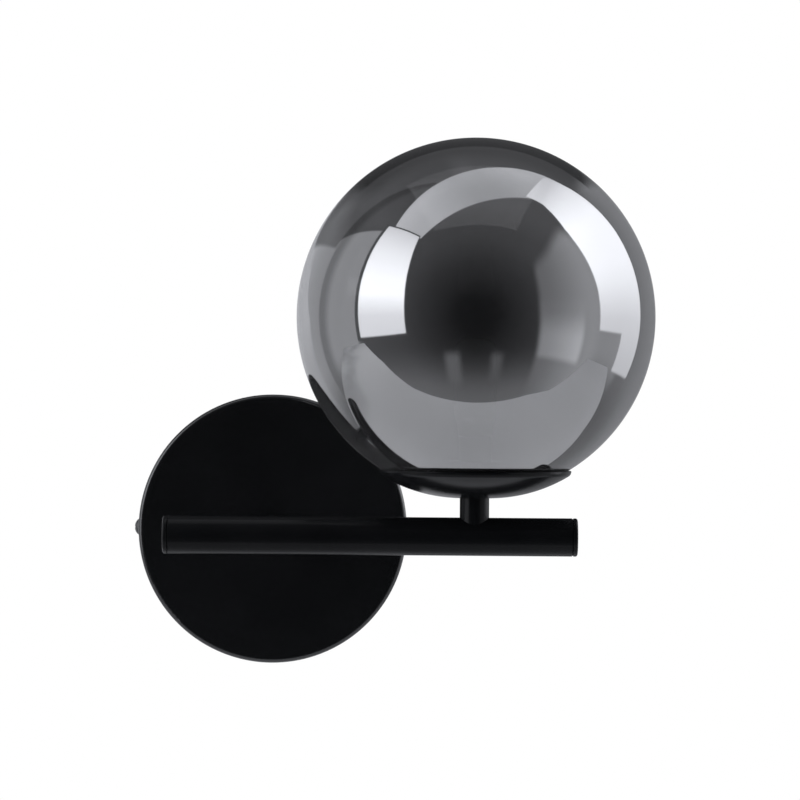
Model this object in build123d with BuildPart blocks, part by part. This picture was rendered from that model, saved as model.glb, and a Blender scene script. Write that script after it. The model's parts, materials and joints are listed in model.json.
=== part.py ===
from build123d import *
import math
import os

# Wall sconce: a round wall plate, a bar standing off it, and a glass ball on a dish above the bar's
# right-hand end. Millimetres. The origin is the centre of the wall mount, on the wall plane (Y = 0).
# +X is to the right as seen from the room, -Y points into the room, +Z is up.

os.makedirs("parts", exist_ok=True)

# ---- driving dimensions -------------------------------------------------------------------------
plate_r = 59.0          # wall plate
plate_depth = 25.0
plate_t = 1.2
plate_round = 2.0

bar_y = -100.0          # the bar's axis stands this far in front of the wall
bar_r = 8.0
bar_bore = 6.8
bar_x0 = -43.2          # over the end plugs
bar_x1 = 130.3
plug_t = 2.0

stem_x = 87.1           # axis of stem, dish, lampholder, bulb and globe
stem_r = 6.15
stem_bore = 5.15
nipple_r = 5.0
nipple_bore = 4.0

dish_z = 16.2           # underside of the dish above the bar's axis
dish_t = 1.2
dish_flat = 6.0         # radius of the dish's flat seat
dish_curve = 64.0       # radius of its curved floor
dish_lip = 2.4          # radius of the turned-up lip
dish_r = 40.4           # outside of the rim

globe_r = 75.0
glass_t = 2.0
globe_z = 91.9
mouth_z = 20.2          # the globe's ground mouth
neck_in = 14.4          # moulded neck, turned inwards
neck_out = 16.6
neck_top = 32.0

collar_r = 14.0
collar_bore = 12.4
collar_floor = 19.0
collar_top = 31.5
flange_r = 19.5

holder_z = 26.5         # underside of the ceramic
holder_top = 42.0
pin_gap = 9.0           # between the bulb's pins
wire_r = 0.9

screw_y = -12.0         # side screws, from the wall
ear_x = 56.6            # outside of the bracket's ears
bracket_t = 1.5

stem_axis = Axis((stem_x, bar_y, 0), (0, 0, 1))
stem_side = Plane(origin=(stem_x, bar_y, 0), x_dir=(1, 0, 0), z_dir=(0, -1, 0))


def level(z):
    """Horizontal plane on the stem's axis at height z."""
    return Plane(origin=(stem_x, bar_y, z), x_dir=(1, 0, 0), z_dir=(0, 0, 1))


def front(depth, x=0.0, z=0.0):
    """Upright plane facing the room, at this distance in front of the wall."""
    return Plane(origin=(x, -depth, z), x_dir=(1, 0, 0), z_dir=(0, -1, 0))


def write(part, name):
    part.label = name
    export_step(part, f"parts/{name}.step")


# ---- wall bracket -------------------------------------------------------------------------------
with BuildPart() as mounting_bracket:
    with BuildSketch(front(0)):
        Rectangle(2 * ear_x, 18)
        Circle(13)
        with Locations((0, 24.5)):
            Rectangle(28, 33)
        fillet(vertices().group_by(Axis.Y)[-1], 3)
        with Locations((-30, 0), (30, 0)):
            SlotOverall(12, 4.5, mode=Mode.SUBTRACT)
        Circle(8, mode=Mode.SUBTRACT)
        with Locations((16.5, 0)):
            Circle(1.65, mode=Mode.SUBTRACT)
        with Locations((-4.5, 28), (4.5, 28)):
            Circle(0.85, mode=Mode.SUBTRACT)
    extrude(amount=bracket_t)
    # the two ears, turned up at the ends
    for side in (-1, 1):
        with BuildSketch(front(0)):
            with Locations((side * (ear_x - bracket_t / 2), 0)):
                Rectangle(bracket_t, 14)
        extrude(amount=18)
    outer = (
        mounting_bracket.edges()
        .filter_by(Axis.Z)
        .filter_by(lambda e: abs(abs(e.center().X) - ear_x) < 0.01 and abs(e.center().Y) < 0.01)
    )
    fillet(outer, 1.4)
    tips = (
        mounting_bracket.edges()
        .filter_by(Axis.X)
        .filter_by(lambda e: abs(e.center().Y + 18) < 0.01)
    )
    fillet(tips, 4)
    with BuildSketch(Plane(origin=(-ear_x - 1, screw_y, 0), x_dir=(0, 1, 0), z_dir=(1, 0, 0))):
        Circle(2.05)
    extrude(amount=2 * ear_x + 2, mode=Mode.SUBTRACT)
write(mounting_bracket.part, "mounting_bracket")

# ---- wall plate: a shallow pressed cup, open to the wall ----------------------------------------
with BuildPart() as canopy:
    with BuildSketch(front(0)):
        Circle(plate_r)
    extrude(amount=plate_depth)
    fillet(canopy.edges().filter_by(GeomType.CIRCLE).sort_by(Axis.Y)[0], plate_round)
    offset(amount=-plate_t, openings=canopy.faces().filter_by(GeomType.PLANE).sort_by(Axis.Y)[-1])
    # hole for the threaded nipple
    with BuildSketch(front(plate_depth - 4)):
        Circle(nipple_r + 0.2)
    extrude(amount=8, mode=Mode.SUBTRACT)
    # side screw holes
    with BuildSketch(Plane(origin=(-plate_r - 5, screw_y, 0), x_dir=(0, 1, 0), z_dir=(1, 0, 0))):
        Circle(2.3)
    extrude(amount=2 * plate_r + 10, mode=Mode.SUBTRACT)
write(canopy.part, "canopy")

# ---- side screws: domed heads with a cross recess -----------------------------------------------
for name, side in (("side_screw_left", -1), ("side_screw_right", 1)):
    with BuildPart() as side_screw:
        with BuildSketch(Plane(origin=(0, screw_y, 0), x_dir=(side, 0, 0), z_dir=(0, -side, 0))):
            with BuildLine():
                l1 = Polyline((50.0, 0), (50.0, 1.55), (50.4, 1.95), (plate_r + 0.1, 1.95), (plate_r + 0.1, 3.5), (plate_r + 0.7, 3.5))
                l2 = ThreePointArc(l1 @ 1, (plate_r + 1.85, 2.3), (plate_r + 2.3, 0))
                Line(l2 @ 1, l1 @ 0)
            make_face()
        revolve(axis=Axis((0, screw_y, 0), (1, 0, 0)))
        with BuildSketch(Plane(origin=(side * (plate_r + 2.5), screw_y, 0), x_dir=(0, 1, 0), z_dir=(-side, 0, 0))):
            Rectangle(3.4, 0.8)
            Rectangle(0.8, 3.4)
        extrude(amount=1.3, taper=8, mode=Mode.SUBTRACT)
    write(side_screw.part, name)

# ---- terminal block on the bracket's upper tab --------------------------------------------------
block_z = 28.0
pole_y = -8.7
with BuildPart() as terminal_block:
    with BuildSketch(front(bracket_t)):
        with Locations((0, block_z)):
            RectangleRounded(29, 16, 1.5)
    extrude(amount=14)
    # barrel-shaped crown over each pole
    fillet(terminal_block.edges().filter_by(Axis.X).sort_by(Axis.Y)[:2], 1.5)
    with BuildSketch(Plane.XY.offset(block_z - 10)):
        with Locations((-9, pole_y), (0, pole_y), (9, pole_y)):
            Circle(2.65)
    extrude(amount=20, mode=Mode.SUBTRACT)
    # screw wells, two to a pole, and the two fixing holes between the poles
    with BuildSketch(front(bracket_t + 14)):
        with Locations(*[(x, block_z + dz) for x in (-9, 0, 9) for dz in (-4.2, 4.2)]):
            Circle(1.75)
    extrude(amount=-6, mode=Mode.SUBTRACT)
    with BuildSketch(front(bracket_t)):
        with Locations((-4.5, block_z), (4.5, block_z)):
            Circle(1.0)
    extrude(amount=14, mode=Mode.SUBTRACT)
write(terminal_block.part, "terminal_block")

with BuildPart() as terminal_clamps:
    with BuildSketch(Plane.XY.offset(block_z - 6.5)):
        with Locations((-9, pole_y), (0, pole_y), (9, pole_y)):
            Circle(2.6)
            Circle(1.7, mode=Mode.SUBTRACT)
    extrude(amount=13)
    with BuildSketch(front(bracket_t + 14)):
        with Locations(*[(x, block_z + dz) for x in (-9, 0, 9) for dz in (-4.2, 4.2)]):
            Circle(1.25)
    extrude(amount=-7.2, mode=Mode.SUBTRACT)
write(terminal_clamps.part, "terminal_clamps")

with BuildPart() as terminal_screws:
    with BuildSketch(front(-pole_y + 1.75)):
        with Locations(*[(x, block_z + dz) for x in (-9, 0, 9) for dz in (-4.2, 4.2)]):
            Circle(1.2)
    extrude(amount=3.4)
    with BuildSketch(front(-pole_y + 5.15)):
        with Locations(*[(x, block_z + dz) for x in (-9, 0, 9) for dz in (-4.2, 4.2)]):
            Rectangle(2.6, 0.5)
    extrude(amount=-0.6, mode=Mode.SUBTRACT)
write(terminal_screws.part, "terminal_screws")

with BuildPart() as terminal_fixing_screws:
    with BuildSketch(front(0.1)):
        with Locations((-4.5, block_z), (4.5, block_z)):
            Circle(0.8)
    extrude(amount=15.4)
    with BuildSketch(front(bracket_t + 14)):
        with Locations((-4.5, block_z), (4.5, block_z)):
            Circle(1.7)
    extrude(amount=1.2)
    with BuildSketch(front(bracket_t + 15.2)):
        with Locations((-4.5, block_z), (4.5, block_z)):
            Rectangle(2.0, 0.45)
            Rectangle(0.45, 2.0)
    extrude(amount=-0.7, mode=Mode.SUBTRACT)
write(terminal_fixing_screws.part, "terminal_fixing_screws")

# ---- earth screw and its ring terminal on the strap ---------------------------------------------
with BuildPart() as earth_lug:
    with BuildSketch(front(bracket_t, 16.5, 0)):
        Circle(3.6)
        with Locations((0, 3.6)):
            Rectangle(3.0, 4.4)
        Circle(1.75, mode=Mode.SUBTRACT)
    extrude(amount=0.8)
    with BuildSketch(Plane(origin=(16.5, -3.4, 5.0), x_dir=(1, 0, 0), z_dir=(0, 0, 1))):
        Circle(1.65)
    extrude(amount=5.5)
    with BuildSketch(Plane(origin=(16.5, -3.4, 5.6), x_dir=(1, 0, 0), z_dir=(0, 0, 1))):
        Circle(1.0)
    extrude(amount=5.5, mode=Mode.SUBTRACT)
write(earth_lug.part, "earth_lug")

with BuildPart() as earth_screw:
    with BuildSketch(front(0.1, 16.5, 0)):
        Circle(1.6)
    extrude(amount=2.3)
    with BuildSketch(front(bracket_t + 0.8, 16.5, 0)):
        Circle(2.9)
    extrude(amount=1.9)
    fillet(earth_screw.edges().filter_by(GeomType.CIRCLE).sort_by(Axis.Y)[0], 0.8)
    with BuildSketch(front(bracket_t + 2.7, 16.5, 0)):
        Rectangle(3.2, 0.7)
        Rectangle(0.7, 3.2)
    extrude(amount=-1.1, mode=Mode.SUBTRACT)
write(earth_screw.part, "earth_screw")

# ---- wires, held by the fitting all the way -----------------------------------------------------
up_live = stem_x - 1.4
up_neutral = stem_x + 1.4
routes = {
    "wire_live": (
        [(-9, pole_y, 26), (-9, pole_y, 1.4), (0, pole_y, 1.4), (0, bar_y, 1.4), (up_live, bar_y, 1.4), (up_live, bar_y, holder_z + 2.5)],
        [4.0, 4.4, 5.5, 4.5],
    ),
    "wire_neutral": (
        [(9, pole_y, 26), (9, pole_y, -1.4), (0, pole_y, -1.4), (0, bar_y, -1.4), (up_neutral, bar_y, -1.4), (up_neutral, bar_y, holder_z + 2.5)],
        [4.0, 4.4, 5.5, 4.5],
    ),
    "wire_earth": (
        [(0, pole_y, 25), (0, pole_y, 16.2), (6.5, -3.4, 12.8), (16.5, -3.4, 12.8), (16.5, -3.4, 5.8)],
        [3.0, 3.2, 2.9],
    ),
}
for name, (points, radii) in routes.items():
    with BuildPart() as wire:
        with BuildLine() as route:
            FilletPolyline(*points, radius=radii)
        with BuildSketch(Plane(origin=points[0], x_dir=(1, 0, 0), z_dir=(0, 0, -1))):
            Circle(wire_r)
        sweep(path=route.wires()[0])
    length = route.wires()[0].length
    print(name, "length", round(length, 1), "radii", radii,
          "volume/section*length", round(wire.part.volume / (math.pi * wire_r**2 * length), 4))
    write(wire.part, name)

# ---- standoff: tube, threaded nipple, washer and nut --------------------------------------------
with BuildPart() as standoff_tube:
    with BuildSketch(front(plate_depth)):
        Circle(stem_r)
        Circle(stem_bore, mode=Mode.SUBTRACT)
    extrude(amount=-bar_y - plate_depth)
    # coped to sit on the bar
    with BuildSketch(Plane(origin=(-20, bar_y, 0), x_dir=(0, 1, 0), z_dir=(1, 0, 0))):
        Circle(bar_r + 0.02)
    extrude(amount=40, mode=Mode.SUBTRACT)
write(standoff_tube.part, "standoff_tube")

with BuildPart() as standoff_nipple:
    with BuildSketch(front(16.8)):
        Circle(nipple_r)
    extrude(amount=32)
    chamfer(standoff_nipple.edges().filter_by(GeomType.CIRCLE), 0.6)
    with BuildSketch(front(16)):
        Circle(nipple_bore)
    extrude(amount=34, mode=Mode.SUBTRACT)
write(standoff_nipple.part, "standoff_nipple")

inner_face = plate_depth - plate_t
with BuildPart() as tooth_washer:
    with BuildSketch(front(inner_face)):
        Circle(8.6)
        with PolarLocations(8.9, 16):
            Circle(0.55, mode=Mode.SUBTRACT)
        Circle(5.2, mode=Mode.SUBTRACT)
    extrude(amount=-0.8)
write(tooth_washer.part, "tooth_washer")

with BuildPart() as standoff_nut:
    with BuildSketch(front(inner_face - 0.8)):
        RegularPolygon(radius=7, side_count=6, major_radius=False)
        Circle(nipple_r, mode=Mode.SUBTRACT)
    extrude(amount=-3.4)
    # corners turned off as on a common nut
    with BuildSketch(Plane(origin=(0, 0, 0), x_dir=(1, 0, 0), z_dir=(0, 0, 1))):
        with BuildLine():
            Polyline((0, -inner_face + 0.5), (8.6, -inner_face + 0.5), (8.6, -inner_face + 3.4), (7.2, -inner_face + 4.2), (0, -inner_face + 4.2), close=True)
        make_face()
    revolve(axis=Axis((0, 0, 0), (0, 1, 0)), mode=Mode.INTERSECT)
write(standoff_nut.part, "standoff_nut")

# ---- horizontal bar and its end plugs -----------------------------------------------------------
with BuildPart() as bar_tube:
    with BuildSketch(Plane(origin=(bar_x0 + plug_t, bar_y, 0), x_dir=(0, 1, 0), z_dir=(1, 0, 0))):
        Circle(bar_r)
        Circle(bar_bore, mode=Mode.SUBTRACT)
    extrude(amount=bar_x1 - bar_x0 - 2 * plug_t)
    chamfer(bar_tube.edges().filter_by(GeomType.CIRCLE).filter_by(lambda e: abs(e.radius - bar_r) < 0.01), 0.35)
    with BuildSketch(front(-bar_y)):
        Circle(stem_bore)
    extrude(amount=-12, mode=Mode.SUBTRACT)
    with BuildSketch(level(0)):
        Circle(nipple_r + 0.05)
    extrude(amount=12, mode=Mode.SUBTRACT)
write(bar_tube.part, "bar_tube")

for name, x, side in (("bar_end_left", bar_x0, 1), ("bar_end_right", bar_x1, -1)):
    with BuildPart() as bar_end:
        with BuildSketch(Plane(origin=(x, bar_y, 0), x_dir=(0, 1, 0), z_dir=(side, 0, 0))):
            Circle(bar_r)
        extrude(amount=plug_t)
        fillet(bar_end.edges().filter_by(GeomType.CIRCLE).sort_by(Axis.X)[0 if side == 1 else -1], 0.9)
        # with the tube's own chamfer this leaves the fine groove of the joint
        chamfer(bar_end.edges().filter_by(GeomType.CIRCLE).sort_by(Axis.X)[-1 if side == 1 else 0], 0.35)
        with BuildSketch(Plane(origin=(x + side * plug_t, bar_y, 0), x_dir=(0, 1, 0), z_dir=(side, 0, 0))):
            Circle(bar_bore - 0.04)
        extrude(amount=9)
        chamfer(bar_end.edges().filter_by(GeomType.CIRCLE).sort_by(Axis.X)[-1 if side == 1 else 0], 0.6)
        with BuildSketch(Plane(origin=(x + side * plug_t, bar_y, 0), x_dir=(0, 1, 0), z_dir=(side, 0, 0))):
            Circle(5.3)
        extrude(amount=12, mode=Mode.SUBTRACT)
    write(bar_end.part, name)

# ---- stem, its threaded nipple and the nut that clamps the stack --------------------------------
with BuildPart() as stem_tube:
    with BuildSketch(level(0)):
        Circle(stem_r)
        Circle(stem_bore, mode=Mode.SUBTRACT)
    extrude(amount=dish_z)
    with BuildSketch(Plane(origin=(stem_x - 20, bar_y, 0), x_dir=(0, 1, 0), z_dir=(1, 0, 0))):
        Circle(bar_r + 0.02)
    extrude(amount=40, mode=Mode.SUBTRACT)
write(stem_tube.part, "stem_tube")

with BuildPart() as stem_nipple:
    with BuildSketch(level(3.6)):
        Circle(nipple_r)
    extrude(amount=23.4 - 3.6)
    chamfer(stem_nipple.edges().filter_by(GeomType.CIRCLE), 0.5)
    with BuildSketch(level(3)):
        Circle(nipple_bore)
    extrude(amount=22, mode=Mode.SUBTRACT)
write(stem_nipple.part, "stem_nipple")

with BuildPart() as holder_nut:
    with BuildSketch(level(collar_floor)):
        RegularPolygon(radius=7, side_count=6, major_radius=False, rotation=30)
        Circle(nipple_r, mode=Mode.SUBTRACT)
    extrude(amount=3.0)
write(holder_nut.part, "holder_nut")

# plastic ends that keep the wires off the cut threads: one on each nipple
with BuildPart() as nipple_bushes:
    with BuildSketch(front(16.8)):
        Circle(5.0)
        Circle(3.2, mode=Mode.SUBTRACT)
    extrude(amount=-1.4)
    with BuildSketch(front(16.8)):
        Circle(3.95)
        Circle(3.2, mode=Mode.SUBTRACT)
    extrude(amount=5)
    with BuildSketch(level(23.4)):
        Circle(5.0)
        Circle(3.2, mode=Mode.SUBTRACT)
    extrude(amount=1.4)
    with BuildSketch(level(23.4)):
        Circle(3.95)
        Circle(3.2, mode=Mode.SUBTRACT)
    extrude(amount=-5)
write(nipple_bushes.part, "nipple_bushes")

# ---- dish: flat seat, curved floor, turned-up lip -----------------------------------------------
sin_lip = (dish_r - dish_lip - dish_flat) / (dish_curve - dish_lip)
cos_lip = math.sqrt(1 - sin_lip**2)
lip_c = (dish_r - dish_lip, dish_z + dish_curve * (1 - cos_lip) + dish_lip * cos_lip)
rim_h = 0.3
rim_break = 0.2


def floor_arc(t):
    """Start, middle and end of the curved floor, t inside the dish's underside."""
    r = dish_curve - t
    a = math.asin(sin_lip)
    c = (dish_flat, dish_z + dish_curve)
    return [(c[0] + r * math.sin(k * a), c[1] - r * math.cos(k * a)) for k in (0, 0.5, 1)]


def lip_arc(t):
    """Start, middle and end of the lip, t inside the dish's outside."""
    r = dish_lip - t
    a = math.asin(sin_lip)
    return [(lip_c[0] + r * math.sin(k), lip_c[1] - r * math.cos(k)) for k in (a, (a + math.pi / 2) / 2, math.pi / 2)]


with BuildPart() as dish:
    with BuildSketch(stem_side):
        with BuildLine():
            out_f, out_l = floor_arc(0), lip_arc(0)
            in_f, in_l = floor_arc(dish_t), lip_arc(dish_t)
            Line((nipple_r + 0.1, dish_z), out_f[0])
            ThreePointArc(*out_f)
            ThreePointArc(out_f[2], out_l[1], out_l[2])
            # flat top of the rim, its edges broken
            Polyline(
                out_l[2],
                (out_l[2][0], out_l[2][1] + rim_h - rim_break),
                (out_l[2][0] - rim_break, out_l[2][1] + rim_h),
                (in_l[2][0] + rim_break, in_l[2][1] + rim_h),
                (in_l[2][0], in_l[2][1] + rim_h - rim_break),
                in_l[2],
            )
            ThreePointArc(in_l[2], in_l[1], in_f[2])
            ThreePointArc(in_f[2], in_f[1], in_f[0])
            Line(in_f[0], (nipple_r + 0.1, dish_z + dish_t))
            Line((nipple_r + 0.1, dish_z + dish_t), (nipple_r + 0.1, dish_z))
        make_face()
    revolve(axis=stem_axis)
write(dish.part, "dish")
print("rim height above the bar's axis", round(lip_c[1] + rim_h, 2))

# ---- collar: the globe screws onto it; its base follows the dish's floor ------------------------
seat = dish_t + 0.06
base_r = flange_r
base_c = (dish_flat, dish_z + dish_curve)


def seat_z(r):
    return base_c[1] - math.sqrt((dish_curve - seat) ** 2 - (r - dish_flat) ** 2)


with BuildPart() as globe_collar:
    with BuildSketch(stem_side):
        with BuildLine():
            Line((nipple_r + 0.05, dish_z + dish_t), (dish_flat, dish_z + dish_t))
            Line((dish_flat, dish_z + dish_t), (dish_flat, dish_z + seat))
            ThreePointArc((dish_flat, dish_z + seat), ((dish_flat + base_r) / 2, seat_z((dish_flat + base_r) / 2)), (base_r, seat_z(base_r)))
            # flange edge, then the threaded wall with its rings
            thread = [(base_r, seat_z(base_r)), (base_r, collar_floor), (collar_r - 0.7, collar_floor)]
            z = collar_floor + 2.6
            while z + 2.0 < collar_top:
                thread += [(collar_r - 0.7, z - 0.9), (collar_r, z - 0.3), (collar_r, z + 0.3), (collar_r - 0.7, z + 0.9)]
                z += 4.0
            thread += [(collar_r - 0.7, collar_top - 0.4), (collar_r - 1.0, collar_top), (collar_bore, collar_top), (collar_bore, collar_floor), (nipple_r + 0.05, collar_floor), (nipple_r + 0.05, dish_z + dish_t)]
            Polyline(*thread)
        make_face()
    revolve(axis=stem_axis)
    # two posts for the lampholder's screws
    with BuildSketch(level(collar_floor)):
        with Locations((-9.6, 0), (9.6, 0)):
            Circle(2.2)
    extrude(amount=holder_z - collar_floor)
    with BuildSketch(level(holder_z)):
        with Locations((-9.6, 0), (9.6, 0)):
            Circle(1.25)
    extrude(amount=-6.5, mode=Mode.SUBTRACT)
write(globe_collar.part, "globe_collar")

with BuildPart() as globe_gasket:
    with BuildSketch(level(collar_floor)):
        Circle(19.3)
        Circle(14.7, mode=Mode.SUBTRACT)
    extrude(amount=mouth_z - collar_floor)
    fillet(globe_gasket.edges().filter_by(GeomType.CIRCLE), 0.35)
write(globe_gasket.part, "globe_gasket")

# ---- lampholder: ceramic with two pin sockets ---------------------------------------------------
with BuildPart() as lampholder_body:
    with BuildSketch(level(holder_z)):
        Circle(12.0)
    extrude(amount=3.0)
    with BuildSketch(level(holder_z + 3.0)):
        RectangleRounded(13.4, 19.6, 3.0)
    extrude(amount=holder_top - holder_z - 3.0)
    fillet(lampholder_body.faces().sort_by(Axis.Z)[-1].outer_wire().edges(), 1.0)
    with BuildSketch(level(holder_z)):
        with Locations((-9.6, 0), (9.6, 0)):
            Circle(1.4)
        with Locations((-1.4, 0), (1.4, 0)):
            Circle(1.0)
    extrude(amount=3.0, mode=Mode.SUBTRACT)
    with BuildSketch(level(holder_top)):
        with Locations((0, -pin_gap / 2), (0, pin_gap / 2)):
            RectangleRounded(4.6, 2.8, 0.4)
    extrude(amount=-9.4, mode=Mode.SUBTRACT)
write(lampholder_body.part, "lampholder_body")

with BuildPart() as lampholder_contacts:
    with BuildSketch(level(holder_top - 9.4)):
        with Locations((0, -pin_gap / 2), (0, pin_gap / 2)):
            Rectangle(3.4, 2.5)
    extrude(amount=8.2)
    with BuildSketch(level(holder_top - 8.8)):
        with Locations((0, -pin_gap / 2), (0, pin_gap / 2)):
            Rectangle(5.0, 1.5)
    extrude(amount=8.2, mode=Mode.SUBTRACT)
write(lampholder_contacts.part, "lampholder_contacts")

with BuildPart() as lampholder_screws:
    with BuildSketch(level(holder_z - 5.5)):
        with Locations((-9.6, 0), (9.6, 0)):
            Circle(1.15)
    extrude(amount=8.5)
    with BuildSketch(level(holder_z + 3.0)):
        with Locations((-9.6, 0), (9.6, 0)):
            Circle(2.2)
    extrude(amount=1.4)
    fillet(lampholder_screws.edges().filter_by(GeomType.CIRCLE).group_by(Axis.Z)[-1], 0.6)
    with BuildSketch(level(holder_z + 4.4)):
        with Locations((-9.6, 0), (9.6, 0)):
            Rectangle(2.6, 0.6)
            Rectangle(0.6, 2.6)
    extrude(amount=-0.8, mode=Mode.SUBTRACT)
write(lampholder_screws.part, "lampholder_screws")

# ---- bulb: looped pins, base, milky envelope, light column --------------------------------------
bulb_z = holder_top + 0.2
with BuildPart() as bulb_base:
    with BuildSketch(stem_side):
        with BuildLine():
            b1 = Polyline((0, bulb_z), (6.4, bulb_z), (7.4, bulb_z + 1.0), (7.4, bulb_z + 4.8))
            b2 = ThreePointArc((7.4, bulb_z + 4.8), (7.9, bulb_z + 6.4), (8.8, bulb_z + 7.8))
            Polyline((8.8, bulb_z + 7.8), (8.8, bulb_z + 12.8), (7.6, bulb_z + 12.8), (7.6, bulb_z + 15.2), (0, bulb_z + 15.2), (0, bulb_z))
        make_face()
    revolve(axis=stem_axis)
    with BuildSketch(level(bulb_z)):
        with Locations((0, -pin_gap / 2), (0, pin_gap / 2)):
            Rectangle(3.0, 1.06)
    extrude(amount=2.0, mode=Mode.SUBTRACT)
write(bulb_base.part, "bulb_base")

with BuildPart() as bulb_pins:
    for dy in (-pin_gap / 2, pin_gap / 2):
        with BuildSketch(Plane(origin=(stem_x, bar_y + dy + 0.5, 0), x_dir=(1, 0, 0), z_dir=(0, -1, 0))):
            with BuildLine():
                Polyline((-1.45, bulb_z + 1.9), (-1.45, bulb_z - 5.2))
                ThreePointArc((-1.45, bulb_z - 5.2), (0, bulb_z - 6.65), (1.45, bulb_z - 5.2))
                Polyline((1.45, bulb_z - 5.2), (1.45, bulb_z + 1.9), (-1.45, bulb_z + 1.9))
            make_face()
            with Locations((0, bulb_z - 1.9)):
                SlotOverall(7.0, 0.9, rotation=90, mode=Mode.SUBTRACT)
        extrude(amount=1.0)
write(bulb_pins.part, "bulb_pins")

env_z = bulb_z + 12.85
env_top = 83.0
env_r = 8.6
with BuildPart() as bulb_envelope:
    with BuildSketch(stem_side):
        with BuildLine():
            k = math.sqrt(0.5)
            Polyline((7.65, env_z), (env_r, env_z), (env_r, env_top - 5))
            ThreePointArc((env_r, env_top - 5), (env_r - 5 + 5 * k, env_top - 5 + 5 * k), (env_r - 5, env_top))
            Polyline((env_r - 5, env_top), (0, env_top), (0, env_top - 0.9), (env_r - 5, env_top - 0.9))
            ThreePointArc((env_r - 5, env_top - 0.9), (env_r - 5 + 4.1 * k, env_top - 5 + 4.1 * k), (env_r - 0.9, env_top - 5))
            Polyline((env_r - 0.9, env_top - 5), (env_r - 0.9, env_z + 1.2), (7.65, env_z + 1.0), (7.65, env_z))
        make_face()
    revolve(axis=stem_axis)
write(bulb_envelope.part, "bulb_envelope")

with BuildPart() as bulb_core:
    with BuildSketch(level(bulb_z + 15.2)):
        RegularPolygon(radius=3.4, side_count=6)
    extrude(amount=env_top - 5.5 - bulb_z - 15.2)
    chamfer(bulb_core.faces().sort_by(Axis.Z)[-1].edges(), 0.8)
write(bulb_core.part, "bulb_core")

# ---- globe: blown ball, ground mouth, moulded neck turned inwards -------------------------------
in_r = globe_r - glass_t
mouth_r = math.sqrt(globe_r**2 - (globe_z - mouth_z) ** 2)
neck_foot = globe_z - math.sqrt(in_r**2 - neck_out**2)
a0 = math.asin(mouth_r / globe_r)
mid = (a0 + math.pi) / 2
b0 = math.asin(neck_out / in_r)
bmid = (b0 + math.pi) / 2
with BuildPart() as globe_glass:
    with BuildSketch(stem_side):
        with BuildLine():
            Line((neck_in, mouth_z), (mouth_r, mouth_z))
            ThreePointArc((mouth_r, mouth_z), (globe_r * math.sin(mid), globe_z - globe_r * math.cos(mid)), (0, globe_z + globe_r))
            Line((0, globe_z + globe_r), (0, globe_z + in_r))
            ThreePointArc((0, globe_z + in_r), (in_r * math.sin(bmid), globe_z - in_r * math.cos(bmid)), (neck_out, neck_foot))
            Line((neck_out, neck_foot), (neck_out, neck_top - 0.8))
            ThreePointArc((neck_out, neck_top - 0.8), ((neck_in + neck_out) / 2, neck_top), (neck_in, neck_top - 0.8))
            Line((neck_in, neck_top - 0.8), (neck_in, mouth_z))
        make_face()
    revolve(axis=stem_axis)
write(globe_glass.part, "globe_glass")
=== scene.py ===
import json
import math

import bpy
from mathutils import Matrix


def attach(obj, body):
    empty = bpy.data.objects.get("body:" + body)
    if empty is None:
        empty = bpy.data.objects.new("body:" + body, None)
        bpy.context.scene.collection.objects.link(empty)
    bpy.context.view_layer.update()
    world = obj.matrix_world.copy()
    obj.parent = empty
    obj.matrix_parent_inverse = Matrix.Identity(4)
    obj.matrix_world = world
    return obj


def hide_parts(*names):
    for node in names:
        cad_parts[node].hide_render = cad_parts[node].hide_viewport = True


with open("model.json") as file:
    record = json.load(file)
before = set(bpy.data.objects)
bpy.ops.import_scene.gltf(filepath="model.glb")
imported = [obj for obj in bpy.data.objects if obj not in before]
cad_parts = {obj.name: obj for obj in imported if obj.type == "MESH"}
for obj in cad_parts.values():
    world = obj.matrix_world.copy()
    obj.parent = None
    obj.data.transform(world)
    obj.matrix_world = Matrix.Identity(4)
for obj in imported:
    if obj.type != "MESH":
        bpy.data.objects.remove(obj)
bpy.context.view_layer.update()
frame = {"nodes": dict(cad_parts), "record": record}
nodes = frame["nodes"]

# The same sizes as the CAD source, in metres.
STEM_X = 0.0871
BAR_Y = -0.1
GLOBE_Z = 0.0919
GLOBE_R = 0.075
GLASS_T = 0.002
MOUTH_Z = 0.0202
NECK_IN = 0.0144
NECK_OUT = 0.0166
NECK_TOP = 0.032


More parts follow.
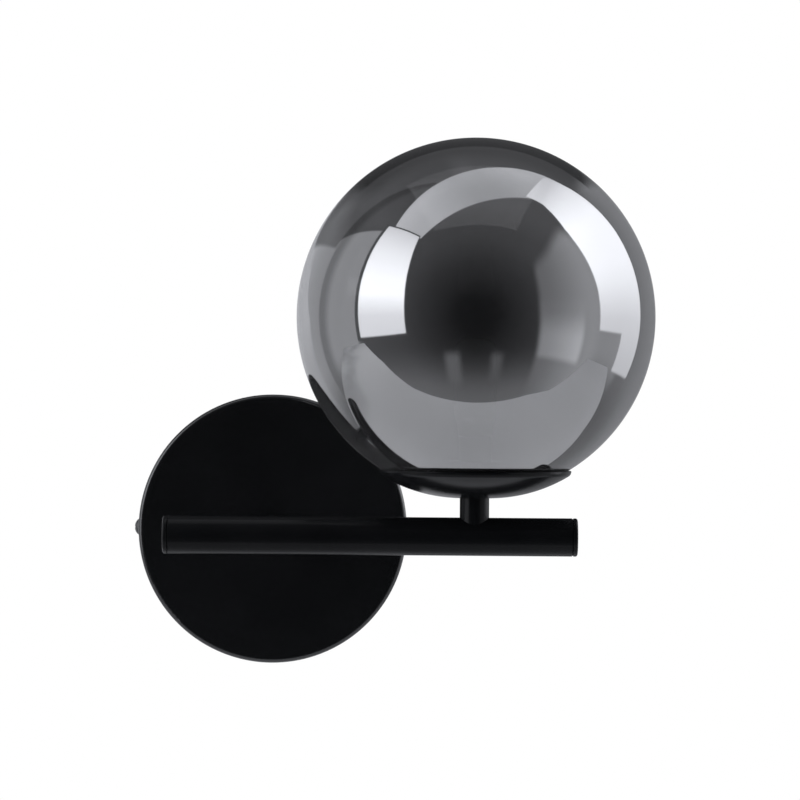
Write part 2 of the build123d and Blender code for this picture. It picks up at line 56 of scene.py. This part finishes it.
# ---------------------------------------------------------------------------------------------
# node helpers
# ---------------------------------------------------------------------------------------------
class Net:
    """A short way to write a node tree."""

    def __init__(self, tree):
        self.tree = tree
        tree.nodes.clear()

    def put(self, socket, value):
        if isinstance(value, bpy.types.NodeSocket):
            self.tree.links.new(value, socket)
        else:
            socket.default_value = value

    def add(self, kind, props=None, sockets=None):
        node = self.tree.nodes.new(kind)
        for key, value in (props or {}).items():
            setattr(node, key, value)
        for key, value in (sockets or {}).items():
            self.put(node.inputs[key], value)
        return node

    def math(self, op, *args):
        node = self.add("ShaderNodeMath", {"operation": op})
        for i, value in enumerate(args):
            self.put(node.inputs[i], value)
        return node.outputs[0]

    def step(self, value, edge, soft):
        """0 below edge, 1 above it, smooth over twice soft."""
        node = self.add("ShaderNodeMapRange", {"interpolation_type": "SMOOTHSTEP"})
        for i, v in enumerate((value, edge - soft, edge + soft, 0.0, 1.0)):
            self.put(node.inputs[i], v)
        return node.outputs[0]

    def between(self, value, low, high, soft):
        up = self.step(value, low, soft)
        down = self.step(value, high, soft)
        return self.math("MULTIPLY", up, self.math("SUBTRACT", 1.0, down))

    def blend(self, mask, under, over):
        node = self.add("ShaderNodeMix", {"data_type": "FLOAT"})
        self.put(node.inputs[0], mask)
        self.put(node.inputs[2], under)
        self.put(node.inputs[3], over)
        return node.outputs[0]

    def ramp(self, value, stops, smooth=False):
        """stops are (place, number or colour)."""
        node = self.add("ShaderNodeValToRGB")
        r = node.color_ramp
        r.interpolation = "EASE" if smooth else "LINEAR"
        while len(r.elements) < len(stops):
            r.elements.new(0.5)
        for e, (place, colour) in zip(r.elements, stops):
            e.position = place
            if isinstance(colour, (int, float)):
                colour = (colour, colour, colour)
            e.color = (*colour, 1.0)
        self.put(node.inputs[0], value)
        return node.outputs[0]

    def noise(self, at, scale, detail=2.0, rough=0.5, distort=0.0, stretch=None):
        if stretch:
            m = self.add("ShaderNodeMapping")
            self.put(m.inputs["Vector"], at)
            m.inputs["Scale"].default_value = stretch
            at = m.outputs[0]
        n = self.add("ShaderNodeTexNoise", None, {"Vector": at, "Scale": scale, "Detail": detail, "Roughness": rough, "Distortion": distort})
        return n.outputs[0]


def material(name, look):
    m = bpy.data.materials.new(name)
    m.use_nodes = True
    net = Net(m.node_tree)
    out = net.add("ShaderNodeOutputMaterial")
    shader = net.add("ShaderNodeBsdfPrincipled")
    net.tree.links.new(shader.outputs[0], out.inputs[0])
    where = net.add("ShaderNodeTexCoord").outputs["Object"]
    look(net, shader, where)
    return m


def bump(net, shader, height, strength, distance, under=None):
    b = net.add("ShaderNodeBump", None, {"Height": height, "Strength": strength, "Distance": distance})
    if under is not None:
        net.put(b.inputs["Normal"], under)
    net.put(shader.inputs["Normal"], b.outputs[0])
    return b.outputs[0]


def number(net, value, low, high):
    """value, 0 to 1, spread over low to high."""
    n = net.add("ShaderNodeMapRange")
    for i, v in enumerate((value, 0.25, 0.75, low, high)):
        net.put(n.inputs[i], v)
    return n.outputs[0]


# ---------------------------------------------------------------------------------------------
# materials
# ---------------------------------------------------------------------------------------------
def black_paint(net, s, at):
    """Satin powder coat: near black, a fine orange peel and a finer grain."""
    cloud = net.noise(at, 28.0, 3.0)
    grain = net.noise(at, 2600.0, 2.0)
    peel = net.noise(at, 520.0, 2.0, 0.45)
    tone = net.ramp(net.math("ADD", net.math("MULTIPLY", cloud, 0.7), net.math("MULTIPLY", grain, 0.3)),
                    [(0.3, (0.0036, 0.0039, 0.0043)), (0.7, (0.0062, 0.0066, 0.0072))])
    net.put(s.inputs["Base Color"], tone)
    net.put(s.inputs["Roughness"], number(net, net.math("ADD", net.math("MULTIPLY", cloud, 0.5), net.math("MULTIPLY", grain, 0.5)), 0.17, 0.25))
    s.inputs["Specular IOR Level"].default_value = 0.07
    fine = net.add("ShaderNodeBump", None, {"Height": grain, "Strength": 0.25, "Distance": 0.000004})
    bump(net, s, peel, 0.5, 0.00002, fine.outputs[0])


def black_plate(net, s, at):
    """The same coat on the flat plate, a little glossier."""
    black_paint(net, s, at)
    s.inputs["Specular IOR Level"].default_value = 0.5


def black_screw(net, s, at):
    cloud = net.noise(at, 300.0, 3.0)
    net.put(s.inputs["Base Color"], net.ramp(cloud, [(0.3, (0.006, 0.006, 0.0065)), (0.7, (0.014, 0.0135, 0.0135))]))
    net.put(s.inputs["Roughness"], number(net, cloud, 0.26, 0.4))
    s.inputs["Specular IOR Level"].default_value = 0.6
    bump(net, s, net.noise(at, 1500.0, 2.0), 0.3, 0.00001)


def zinc_steel(net, s, at):
    """Bright zinc plate over rolled steel: faint rolling lines and a mottled passivation."""
    cloud = net.noise(at, 120.0, 4.0, 0.6)
    rolled = net.noise(at, 60.0, 3.0, 0.5, 0.0, (1.0, 30.0, 30.0))
    net.put(s.inputs["Base Color"], net.ramp(cloud, [(0.3, (0.52, 0.54, 0.58)), (0.55, (0.63, 0.64, 0.65)), (0.75, (0.66, 0.65, 0.60))]))
    s.inputs["Metallic"].default_value = 1.0
    net.put(s.inputs["Roughness"], number(net, net.math("ADD", net.math("MULTIPLY", cloud, 0.5), net.math("MULTIPLY", rolled, 0.5)), 0.24, 0.44))
    bump(net, s, rolled, 0.25, 0.00001)


def thread_steel(net, s, at):
    """Yellow passivated thread, with dark roots between its crests."""
    z = net.add("ShaderNodeSeparateXYZ", None, {0: at})
    cloud = net.noise(at, 240.0, 3.0)
    along = net.math("ADD", z.outputs[1], z.outputs[2])
    wave = net.math("SINE", net.math("MULTIPLY", along, 2.0 * math.pi / 0.001))
    root = net.math("MULTIPLY_ADD", wave, 0.5, 0.5)
    net.put(s.inputs["Base Color"], net.ramp(net.math("ADD", net.math("MULTIPLY", root, 0.5), net.math("MULTIPLY", cloud, 0.5)),
                                              [(0.2, (0.26, 0.22, 0.13)), (0.6, (0.66, 0.6, 0.42)), (0.9, (0.74, 0.7, 0.58))]))
    s.inputs["Metallic"].default_value = 1.0
    net.put(s.inputs["Roughness"], number(net, cloud, 0.25, 0.42))
    bump(net, s, root, 0.6, 0.00025)


def turned_aluminium(net, s, at):
    """Turned on a lathe: fine rings about the globe's axis."""
    xyz = net.add("ShaderNodeSeparateXYZ", None, {0: at})
    dx = net.math("SUBTRACT", xyz.outputs[0], STEM_X)
    dy = net.math("SUBTRACT", xyz.outputs[1], BAR_Y)
    r = net.math("SQRT", net.math("ADD", net.math("MULTIPLY", dx, dx), net.math("MULTIPLY", dy, dy)))
    ring = net.add("ShaderNodeTexNoise", {"noise_dimensions": "1D"}, {"W": net.math("ADD", r, xyz.outputs[2]), "Scale": 9000.0, "Detail": 2.0}).outputs[0]
    cloud = net.noise(at, 90.0, 2.0)
    net.put(s.inputs["Base Color"], net.ramp(cloud, [(0.3, (0.66, 0.67, 0.68)), (0.7, (0.76, 0.76, 0.77))]))
    s.inputs["Metallic"].default_value = 1.0
    net.put(s.inputs["Roughness"], number(net, ring, 0.22, 0.36))
    bump(net, s, ring, 0.35, 0.00002)


def white_plastic(net, s, at):
    cloud = net.noise(at, 60.0, 2.0)
    spark = net.noise(at, 1800.0, 2.0)
    net.put(s.inputs["Base Color"], net.ramp(cloud, [(0.3, (0.74, 0.74, 0.70)), (0.7, (0.82, 0.82, 0.79))]))
    net.put(s.inputs["Roughness"], number(net, spark, 0.42, 0.56))
    bump(net, s, spark, 0.35, 0.00002)


def terminal_brass(net, s, at):
    cloud = net.noise(at, 260.0, 4.0, 0.6)
    net.put(s.inputs["Base Color"], net.ramp(cloud, [(0.3, (0.44, 0.28, 0.10)), (0.55, (0.66, 0.47, 0.20)), (0.8, (0.74, 0.56, 0.28))]))
    s.inputs["Metallic"].default_value = 1.0
    net.put(s.inputs["Roughness"], number(net, cloud, 0.38, 0.22))
    bump(net, s, net.noise(at, 900.0, 2.0), 0.3, 0.00001)


def insulation(low, high):
    def look(net, s, at):
        cloud = net.noise(at, 240.0, 2.0)
        net.put(s.inputs["Base Color"], net.ramp(cloud, [(0.3, low), (0.7, high)]))
        net.put(s.inputs["Roughness"], number(net, cloud, 0.36, 0.5))
        bump(net, s, net.noise(at, 1600.0, 2.0), 0.3, 0.00002)
    return look


def green_yellow(net, s, at):
    """Green sleeve with a yellow band that winds round it."""
    xyz = net.add("ShaderNodeSeparateXYZ", None, {0: at})
    turn = net.math("MULTIPLY", xyz.outputs[0], 2.0 * math.pi / 0.0036)
    lean = net.math("MULTIPLY", xyz.outputs[2], 2.0 * math.pi / 0.0075)
    wave = net.math("SINE", net.math("ADD", turn, lean))
    band = net.step(wave, 0.15, 0.12)
    cloud = net.noise(at, 240.0, 2.0)
    net.put(s.inputs["Base Color"], net.ramp(band, [(0.0, (0.02, 0.22, 0.05)), (1.0, (0.72, 0.62, 0.04))]))
    net.put(s.inputs["Roughness"], number(net, cloud, 0.36, 0.5))
    bump(net, s, net.noise(at, 1600.0, 2.0), 0.3, 0.00002)


def ceramic(net, s, at):
    """Fired steatite: off-white, dull, finely pitted."""
    cloud = net.noise(at, 130.0, 3.0)
    pit = net.noise(at, 2400.0, 3.0, 0.7)
    net.put(s.inputs["Base Color"], net.ramp(net.math("ADD", net.math("MULTIPLY", cloud, 0.6), net.math("MULTIPLY", pit, 0.4)),
                                              [(0.28, (0.62, 0.59, 0.53)), (0.5, (0.78, 0.76, 0.71)), (0.8, (0.83, 0.81, 0.77))]))
    net.put(s.inputs["Roughness"], number(net, pit, 0.5, 0.68))
    bump(net, s, pit, 0.5, 0.00003)


def silicone(net, s, at):
    cloud = net.noise(at, 160.0, 2.0)
    net.put(s.inputs["Base Color"], net.ramp(cloud, [(0.3, (0.66, 0.66, 0.63)), (0.7, (0.76, 0.76, 0.74))]))
    net.put(s.inputs["Roughness"], number(net, cloud, 0.45, 0.6))
    s.inputs["Subsurface Weight"].default_value = 0.35
    s.inputs["Subsurface Radius"].default_value = (0.002, 0.002, 0.002)
    bump(net, s, net.noise(at, 1100.0, 2.0), 0.3, 0.00002)


def smoked_glass(net, s, at):
    """Blown ball with a half-mirror of metal on dark glass: a high index gives the mirror its strength, and a faint veil lies on it."""
    slow = net.noise(at, 26.0, 1.0, 0.4)
    quick = net.noise(at, 95.0, 1.0, 0.4)
    tint = net.noise(at, 18.0, 1.0)
    net.put(s.inputs["Base Color"], net.ramp(tint, [(0.3, (0.120, 0.121, 0.126)), (0.7, (0.136, 0.137, 0.142))]))
    s.inputs["Roughness"].default_value = 0.0
    s.inputs["IOR"].default_value = 2.6
    s.inputs["Sheen Weight"].default_value = 0.06
    s.inputs["Sheen Roughness"].default_value = 0.5
    s.inputs["Transmission Weight"].default_value = 1.0
    slow_b = net.add("ShaderNodeBump", None, {"Height": slow, "Strength": 0.6, "Distance": 0.00018})
    bump(net, s, quick, 0.5, 0.00002, slow_b.outputs[0])


def opal_envelope(net, s, at):
    cloud = net.noise(at, 130.0, 2.0)
    net.put(s.inputs["Base Color"], net.ramp(cloud, [(0.3, (0.86, 0.86, 0.84)), (0.7, (0.92, 0.92, 0.91))]))
    net.put(s.inputs["Roughness"], number(net, cloud, 0.16, 0.24))
    s.inputs["Transmission Weight"].default_value = 0.25
    s.inputs["IOR"].default_value = 1.5
    bump(net, s, net.noise(at, 700.0, 1.0), 0.2, 0.00001)


def bulb_white(net, s, at):
    cloud = net.noise(at, 200.0, 2.0)
    net.put(s.inputs["Base Color"], net.ramp(cloud, [(0.3, (0.78, 0.78, 0.77)), (0.7, (0.86, 0.86, 0.85))]))
    net.put(s.inputs["Roughness"], number(net, cloud, 0.28, 0.4))
    bump(net, s, net.noise(at, 1500.0, 2.0), 0.25, 0.00001)


def pin_wire(net, s, at):
    cloud = net.noise(at, 500.0, 2.0)
    drawn = net.noise(at, 400.0, 2.0, 0.5, 0.0, (8.0, 8.0, 0.5))
    net.put(s.inputs["Base Color"], net.ramp(cloud, [(0.3, (0.56, 0.56, 0.57)), (0.7, (0.7, 0.7, 0.71))]))
    s.inputs["Metallic"].default_value = 1.0
    net.put(s.inputs["Roughness"], number(net, drawn, 0.18, 0.34))
    bump(net, s, drawn, 0.3, 0.00001)


LOOKS = {
    "black_paint": black_paint,
    "black_screw": black_screw,
    "zinc_steel": zinc_steel,
    "thread_steel": thread_steel,
    "turned_aluminium": turned_aluminium,
    "white_plastic": white_plastic,
    "terminal_brass": terminal_brass,
    "insulation_brown": insulation((0.10, 0.035, 0.014), (0.15, 0.055, 0.022)),
    "insulation_blue": insulation((0.012, 0.075, 0.30), (0.02, 0.11, 0.42)),
    "insulation_green_yellow": green_yellow,
    "ceramic": ceramic,
    "silicone": silicone,
    "smoked_glass": smoked_glass,
    "opal_envelope": opal_envelope,
    "bulb_white": bulb_white,
    "pin_wire": pin_wire,
}
made = {slot: material("look_" + slot, look) for slot, look in LOOKS.items()}
plate_look = material("look_black_paint_plate", black_plate)
slot_of = {p["node"]: p["material_slot"] for p in frame["record"]["subparts"]}
for name, obj in nodes.items():
    for s in obj.material_slots:
        s.link = "DATA"
    obj.data.materials.clear()
    obj.data.materials.append(plate_look if name == "canopy" else made[slot_of[name]])


# ---------------------------------------------------------------------------------------------
# the globe, turned finely enough for its reflections
# ---------------------------------------------------------------------------------------------
def lathe(name, profile, sharp, turns, centre):
    """Turns a closed profile of (radius, height) about a vertical axis. sharp holds the profile's corner numbers."""
    verts, faces, rings = [], [], []
    for r, z in profile:
        if r < 1e-7:
            rings.append([len(verts)] * turns)
            verts.append((centre[0], centre[1], z))
        else:
            start = len(verts)
            for k in range(turns):
                a = 2.0 * math.pi * k / turns
                verts.append((centre[0] + r * math.cos(a), centre[1] + r * math.sin(a), z))
            rings.append(list(range(start, start + turns)))
    n = len(profile)
    for i in range(n):
        a, b = rings[i], rings[(i + 1) % n]
        if a[0] == a[1] and b[0] == b[1]:
            continue
        for k in range(turns):
            j = (k + 1) % turns
            quad = [a[k], a[j], b[j], b[k]]
            face = [v for v, before in zip(quad, quad[-1:] + quad[:-1]) if v != before]
            if len(face) > 2:
                faces.append(face)
    mesh = bpy.data.meshes.new(name)
    mesh.from_pydata(verts, [], faces)
    mesh.validate()
    mesh.update()
    for p in mesh.polygons:
        p.use_smooth = True
    corner = {v for i in sharp for v in rings[i]}
    ring_of = {v: i for i, ring in enumerate(rings) for v in ring}
    for e in mesh.edges:
        u, v = e.vertices
        if u in corner and v in corner and ring_of[u] == ring_of[v]:
            e.use_edge_sharp = True
    obj = bpy.data.objects.new(name, mesh)
    bpy.context.scene.collection.objects.link(obj)
    return obj


def arc(cx, cz, r, a0, a1, n):
    """Points on a circle; the angle is from straight down."""
    return [(cx + r * math.sin(a0 + (a1 - a0) * k / n), cz - r * math.cos(a0 + (a1 - a0) * k / n)) for k in range(n + 1)]


in_r = GLOBE_R - GLASS_T
mouth_r = math.sqrt(GLOBE_R**2 - (GLOBE_Z - MOUTH_Z) ** 2)
profile = [(NECK_IN, MOUTH_Z)]
ball = arc(0, GLOBE_Z, GLOBE_R, math.asin(mouth_r / GLOBE_R), math.pi, 150)
ball[-1] = (0.0, GLOBE_Z + GLOBE_R)
inner = arc(0, GLOBE_Z, in_r, math.pi, math.asin(NECK_OUT / in_r), 120)
inner[0] = (0.0, GLOBE_Z + in_r)
profile += ball + inner
lip_r = (NECK_OUT - NECK_IN) / 2
lip_h = 0.0008
foot = len(profile) - 1
steps = 10
for k in range(steps + 1):
    a = math.pi * k / steps
    profile.append(((NECK_OUT + NECK_IN) / 2 + lip_r * math.cos(a), NECK_TOP - lip_h + lip_h * math.sin(a)))
globe = lathe("globe_ball", profile, [0, 1, foot, foot + 1, len(profile) - 1], 288, (STEM_X, BAR_Y))
globe.data.materials.append(made["smoked_glass"])
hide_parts("globe_glass")
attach(globe, "globe")


# ---------------------------------------------------------------------------------------------
# studio
# ---------------------------------------------------------------------------------------------
def slab(name, outline, top, thick):
    """A flat board; its outline runs anticlockwise seen from above."""
    n = len(outline)
    verts = [(x, y, top - thick) for x, y in outline] + [(x, y, top) for x, y in outline]
    faces = [tuple(range(n - 1, -1, -1)), tuple(range(n, 2 * n))]
    faces += [(i, (i + 1) % n, n + (i + 1) % n, n + i) for i in range(n)]
    mesh = bpy.data.meshes.new(name)
    mesh.from_pydata(verts, [], faces)
    obj = bpy.data.objects.new(name, mesh)
    bpy.context.scene.collection.objects.link(obj)
    return obj


def floor_look_with_painted_shade(net, s, at):
    soft = net.noise(at, 3.0, 2.0)
    xyz = net.add("ShaderNodeSeparateXYZ", None, {0: at})
    # painted shade: the floor is painted darker towards the back, where it gets less light
    back = net.step(net.math("MULTIPLY_ADD", xyz.outputs[0], -0.25, xyz.outputs[1]), BAR_Y + 0.42 * 0.39, 0.15)
    tone = net.math("SUBTRACT", soft, net.math("MULTIPLY", back, 0.5))
    net.put(s.inputs["Base Color"], net.ramp(net.math("ADD", tone, 0.2), [(0.0, (0.52, 0.525, 0.53)), (0.5, (0.87, 0.875, 0.885)), (0.9, (0.91, 0.915, 0.925))]))
    s.inputs["Roughness"].default_value = 0.7
    s.inputs["Specular IOR Level"].default_value = 0.2


FLOOR_Z = -0.30
drop = GLOBE_Z - FLOOR_Z
board = [(-4.2, -0.93), (-2.0, -0.93), (-0.9, -0.76), (0.65, -0.76), (1.0, -0.66), (2.7, -0.62), (2.7, 0.40), (1.0, 0.57), (0.3, 0.80), (-0.9, 0.85), (-4.2, 0.44)]
floor = slab("floor", [(STEM_X + x * drop, BAR_Y + y * drop) for x, y in board], FLOOR_Z, 0.02)
floor.data.materials.append(material("look_floor", floor_look_with_painted_shade))

world = bpy.data.worlds.new("studio")
bpy.context.scene.world = world
world.use_nodes = True
net = Net(world.node_tree)
direction = net.add("ShaderNodeTexCoord").outputs["Generated"]
split = net.add("ShaderNodeSeparateXYZ", None, {0: direction})
dx, dy, dz = split.outputs
D = math.radians
az = net.math("ARCTAN2", dx, net.math("MULTIPLY", dy, -1.0))      # 0 towards the camera, positive to the right
el = net.math("ARCSINE", dz)
off = net.math("ARCCOSINE", net.math("MULTIPLY", dy, -1.0))        # angle away from the camera's side

# the dark room on the camera's side, lighter towards its edges
turn = net.math("DIVIDE", off, math.pi)
room = net.ramp(turn, [(0.0, 0.012), (0.07, 0.02), (0.13, 0.06), (0.19, 0.10), (0.25, 0.155), (0.29, 0.19), (0.34, 0.215), (0.42, 0.26)])
# lighter below
below = net.step(el, D(-32), D(16))
room = net.math("MULTIPLY", room, net.blend(below, 2.3, 1.0))
# side wall at the front right, and the lit patch on it
ramp_r = net.blend(net.step(az, D(62), D(22)), 0.52, 1.08)
wall_r = net.math("MULTIPLY", net.between(az, D(40), D(112), D(3.0)), net.between(el, D(-60), D(45), D(5)))
wall_r = net.math("MULTIPLY", wall_r, net.math("SUBTRACT", 1.0, net.step(net.math("MULTIPLY_ADD", az, -0.55, el), D(7.5), D(5))))
room = net.blend(wall_r, room, ramp_r)
patch = net.math("MULTIPLY", net.between(az, D(41), D(72), D(2.5)), net.between(el, D(-24), D(9), D(2.5)))
room = net.blend(patch, room, net.math("MULTIPLY", ramp_r, net.blend(net.step(el, D(-4), D(9)), 1.75, 1.06)))
# two pale stands, low on the camera's side
for a0, a1, level in ((-22.0, -12.0, 0.44), (9.5, 17.0, 0.34)):
    stand = net.math("MULTIPLY", net.between(az, D(a0), D(a1), D(3.0)), net.between(el, D(-44), D(-24), D(4)))
    room = net.blend(stand, room, level)
# behind the object, left: a side wall with a straight top edge, then a second wall, then the bright end of the backdrop
above_l = net.ramp(net.math("DIVIDE", el, D(60)), [(0.0, 0.50), (0.25, 0.46), (0.38, 0.44), (0.56, 0.27), (0.75, 0.30), (1.0, 0.22)])
above_l = net.math("MULTIPLY", above_l, net.blend(net.step(off, D(148), D(18)), 1.0, 0.42))
wall_top = net.math("ADD", net.math("MULTIPLY_ADD", dx, 0.885, dz), net.math("MULTIPLY", dy, 0.5))
side_wall = net.blend(net.step(wall_top, 0.0, 0.015), 0.98, above_l)
second_top = net.math("MULTIPLY_ADD", dx, 0.5, dz)
second = net.blend(net.step(second_top, 0.0, 0.015), 0.88, above_l)
back_left = net.blend(net.step(az, D(-121.5), D(1.2)), second, side_wall)
slot = net.math("MULTIPLY", net.step(az, D(-121), D(1.2)), net.math("SUBTRACT", 1.0, net.step(az, D(-111.5), D(5))))
back_left = net.blend(slot, back_left, net.math("MULTIPLY", back_left, 0.56))
crescent = net.ramp(turn, [(0.0, 1.3), (0.778, 1.28), (0.819, 1.08), (0.844, 0.96), (0.872, 0.87), (0.911, 0.77), (0.972, 0.60), (1.0, 0.5)])
bend = net.math("MULTIPLY", net.math("MAXIMUM", el, 0.0), 1.1)
end_l = net.step(net.math("SUBTRACT", net.math("MULTIPLY", az, -1.0), bend), D(134), D(1.0))
end_l = net.math("MULTIPLY", net.math("MAXIMUM", end_l, net.step(az, D(173), D(6))),
                 net.math("SUBTRACT", 1.0, net.step(el, D(10.5), D(1.5))))
crescent = net.math("MULTIPLY", crescent, net.blend(net.step(el, D(-6), D(7)), 0.76, 0.95))
back_left = net.blend(end_l, back_left, crescent)
# right
back_right = net.blend(net.step(az, D(112), D(4)), 0.86, 0.46)
back_right = net.math("MULTIPLY", back_right, net.blend(net.step(off, D(150), D(14)), 1.08, 0.72))
back = net.blend(net.step(dx, 0.0, 0.2), back_left, back_right)
back = net.blend(net.math("MULTIPLY", net.step(el, D(40), D(6)), net.step(dx, -0.1, 0.1)), back, 0.26)
# the dark upper end, and the darker edge that runs across it
shade = net.math("MULTIPLY", net.step(off, D(122), D(14)), net.step(el, D(13), D(8)))
shade = net.math("MULTIPLY", shade, net.step(net.math("MULTIPLY_ADD", dx, -1.3, dz), 0.0, 0.07))
shade = net.math("MULTIPLY", shade, net.step(net.math("MULTIPLY_ADD", dz, 0.62, dx), -0.15, 0.10))
back = net.blend(shade, back, 0.12)
edge = net.math("MULTIPLY", net.step(off, D(139.5), D(1.5)), net.step(el, D(8), D(4)))
edge = net.math("MULTIPLY", edge, net.step(net.math("MULTIPLY_ADD", net.math("ABSOLUTE", dx), -1.2, dz), 0.0, 0.05))
back = net.blend(edge, back, 0.03)
back = net.blend(net.step(net.math("MULTIPLY", el, -1.0), D(24), D(10)), back, 0.36)
light = net.blend(net.step(off, D(84), D(6)), room, back)
near = net.math("MULTIPLY", net.between(az, D(-96), D(-83), D(1.5)), net.between(el, D(-20), D(30), D(3)))
light = net.blend(near, light, 1.02)

# long light overhead, running from the front left to the back right
up = net.math("MAXIMUM", dz, 0.001)
px = net.math("DIVIDE", dx, up)
py = net.math("DIVIDE", dy, up)
across = net.math("ADD", net.math("MULTIPLY", px, -0.469), net.math("MULTIPLY", py, 0.883))
along = net.math("ADD", net.math("MULTIPLY", px, 0.883), net.math("MULTIPLY", py, 0.469))
strip = net.math("MULTIPLY", net.between(across, -0.222, 0.274, 0.012), net.between(along, -0.95, 0.85, 0.02))
strip = net.math("MULTIPLY", strip, net.step(dz, 0.2, 0.02))
strip_level = net.blend(net.step(across, 0.1, 0.25), 1.2, 1.45)
strip_level = net.math("MULTIPLY", strip_level, net.ramp(net.math("MULTIPLY_ADD", along, 0.5, 0.5), [(0.1, 1.42), (0.24, 1.36), (0.46, 0.97), (0.56, 0.95), (0.7, 1.12)]))
light = net.blend(strip, light, strip_level)

# tall light box at the right, its lower front corner cut away
side = net.math("MAXIMUM", dx, 0.001)
by = net.math("DIVIDE", dy, side)
bz = net.math("DIVIDE", dz, side)
top = net.math("SUBTRACT", bz, net.math("MULTIPLY", by, -0.34))
rear = net.math("MULTIPLY_ADD", bz, -0.14, by)
inner = net.math("ADD", by, net.ramp(net.math("MULTIPLY", bz, 0.5), [(0.12, 0.09), (0.40, 0.14), (0.50, 0.14), (0.60, 0.105), (0.87, 0.004)]))
main = net.math("MULTIPLY", net.step(inner, 0.0, 0.015), net.between(bz, -0.10, 9.0, 0.015))
low = net.math("MULTIPLY", net.between(by, 0.29, 2.0, 0.015), net.between(bz, -0.38, 0.0, 0.015))
box_r = net.math("MAXIMUM", main, low)
box_r = net.math("MULTIPLY", box_r, net.math("SUBTRACT", 1.0, net.step(rear, 0.80, 0.015)))
box_r = net.math("MULTIPLY", box_r, net.math("SUBTRACT", 1.0, net.step(top, 2.45, 0.03)))
box_r = net.math("MULTIPLY", box_r, net.step(dx, 0.05, 0.02))
level_r = net.ramp(net.math("MULTIPLY_ADD", bz, 0.33, 0.2), [(0.0, 0.44), (0.11, 0.52), (0.2, 0.62), (0.29, 0.88), (0.34, 0.97), (0.5, 1.03), (0.66, 0.84), (0.8, 0.64), (1.0, 0.6)])
level_r = net.math("MULTIPLY", level_r, net.math("MULTIPLY_ADD", by, -0.26, 1.08))
light = net.blend(box_r, light, net.math("MULTIPLY", level_r, 4.1))

# light box at the front left, with its thin dark frame
n_az = D(-66)
fwd = net.math("ADD", net.math("MULTIPLY", dx, math.sin(n_az)), net.math("MULTIPLY", dy, -math.cos(n_az)))
fwd = net.math("MAXIMUM", fwd, 0.001)
bw = net.math("DIVIDE", dz, fwd)
lean = net.math("MULTIPLY_ADD", bw, D(3.4), az)
rim = net.math("MULTIPLY", net.between(lean, D(-84.4), D(-46.4), D(0.5)), net.between(bw, -0.22, 1.12, 0.01))
light = net.blend(rim, light, 0.25)
box_l = net.math("MULTIPLY", net.between(lean, D(-81.6), D(-47.2), D(0.6)), net.between(bw, -0.19, 1.09, 0.012))
level_l = net.ramp(net.math("MULTIPLY_ADD", bw, 0.6, 0.2), [(0.0, 0.60), (0.2, 0.68), (0.32, 0.98), (0.42, 0.98), (0.6, 0.82), (0.85, 0.56)])
light = net.blend(box_l, light, net.math("MULTIPLY", level_l, 4.7))

studio = net.add("ShaderNodeBackground", None, {"Color": (0.975, 0.99, 1.045, 1.0), "Strength": light})
plain = net.add("ShaderNodeBackground", None, {"Color": (1.0, 1.0, 1.0, 1.0), "Strength": 1.0})
path = net.add("ShaderNodeLightPath")
mix = net.add("ShaderNodeMixShader", None, {0: path.outputs["Is Camera Ray"], 1: studio.outputs[0], 2: plain.outputs[0]})
end = net.add("ShaderNodeOutputWorld", None, {0: mix.outputs[0]})
world.cycles.sampling_method = "MANUAL"
world.cycles.sample_map_resolution = 1024

# one broad soft light overhead for the floor
lamp = bpy.data.lights.new("overhead", "AREA")
lamp.shape = "SQUARE"
lamp.size = 1.6
lamp.energy = 11.0
lamp.color = (0.985, 0.99, 1.0)
lamp_obj = bpy.data.objects.new("overhead", lamp)
bpy.context.scene.collection.objects.link(lamp_obj)
lamp_obj.location = (0.05, -0.3, 1.7)
lamp_obj.visible_glossy = False
lamp_obj.visible_camera = False

# a smaller one over the floor's left part
low_lamp = bpy.data.lights.new("side", "AREA")
low_lamp.shape = "SQUARE"
low_lamp.size = 0.7
low_lamp.energy = 2.2
low_lamp.color = (0.985, 0.99, 1.0)
low_obj = bpy.data.objects.new("side", low_lamp)
bpy.context.scene.collection.objects.link(low_obj)
low_obj.location = (-1.0, -0.42, 0.32)
low_obj.visible_glossy = False
low_obj.visible_camera = False

# camera: level with the bar's top, square to the wall, turned a little as in the photograph
cam = bpy.data.cameras.new("camera")
cam.sensor_width = 36.0
cam.lens = 161.3
cam.clip_start = 0.05
cam_obj = bpy.data.objects.new("camera", cam)
bpy.context.scene.collection.objects.link(cam_obj)
cam_obj.location = (0.0556, -1.6, 0.0570)
cam_obj.rotation_euler = (math.radians(90.0), math.radians(-0.436), 0.0)
scene = bpy.context.scene
scene.camera = cam_obj
scene.view_settings.view_transform = "Standard"
scene.view_settings.look = "None"
scene.cycles.use_denoising = True
scene.cycles.max_bounces = 16
scene.cycles.transmission_bounces = 14
scene.cycles.glossy_bounces = 8
scene.cycles.diffuse_bounces = 4
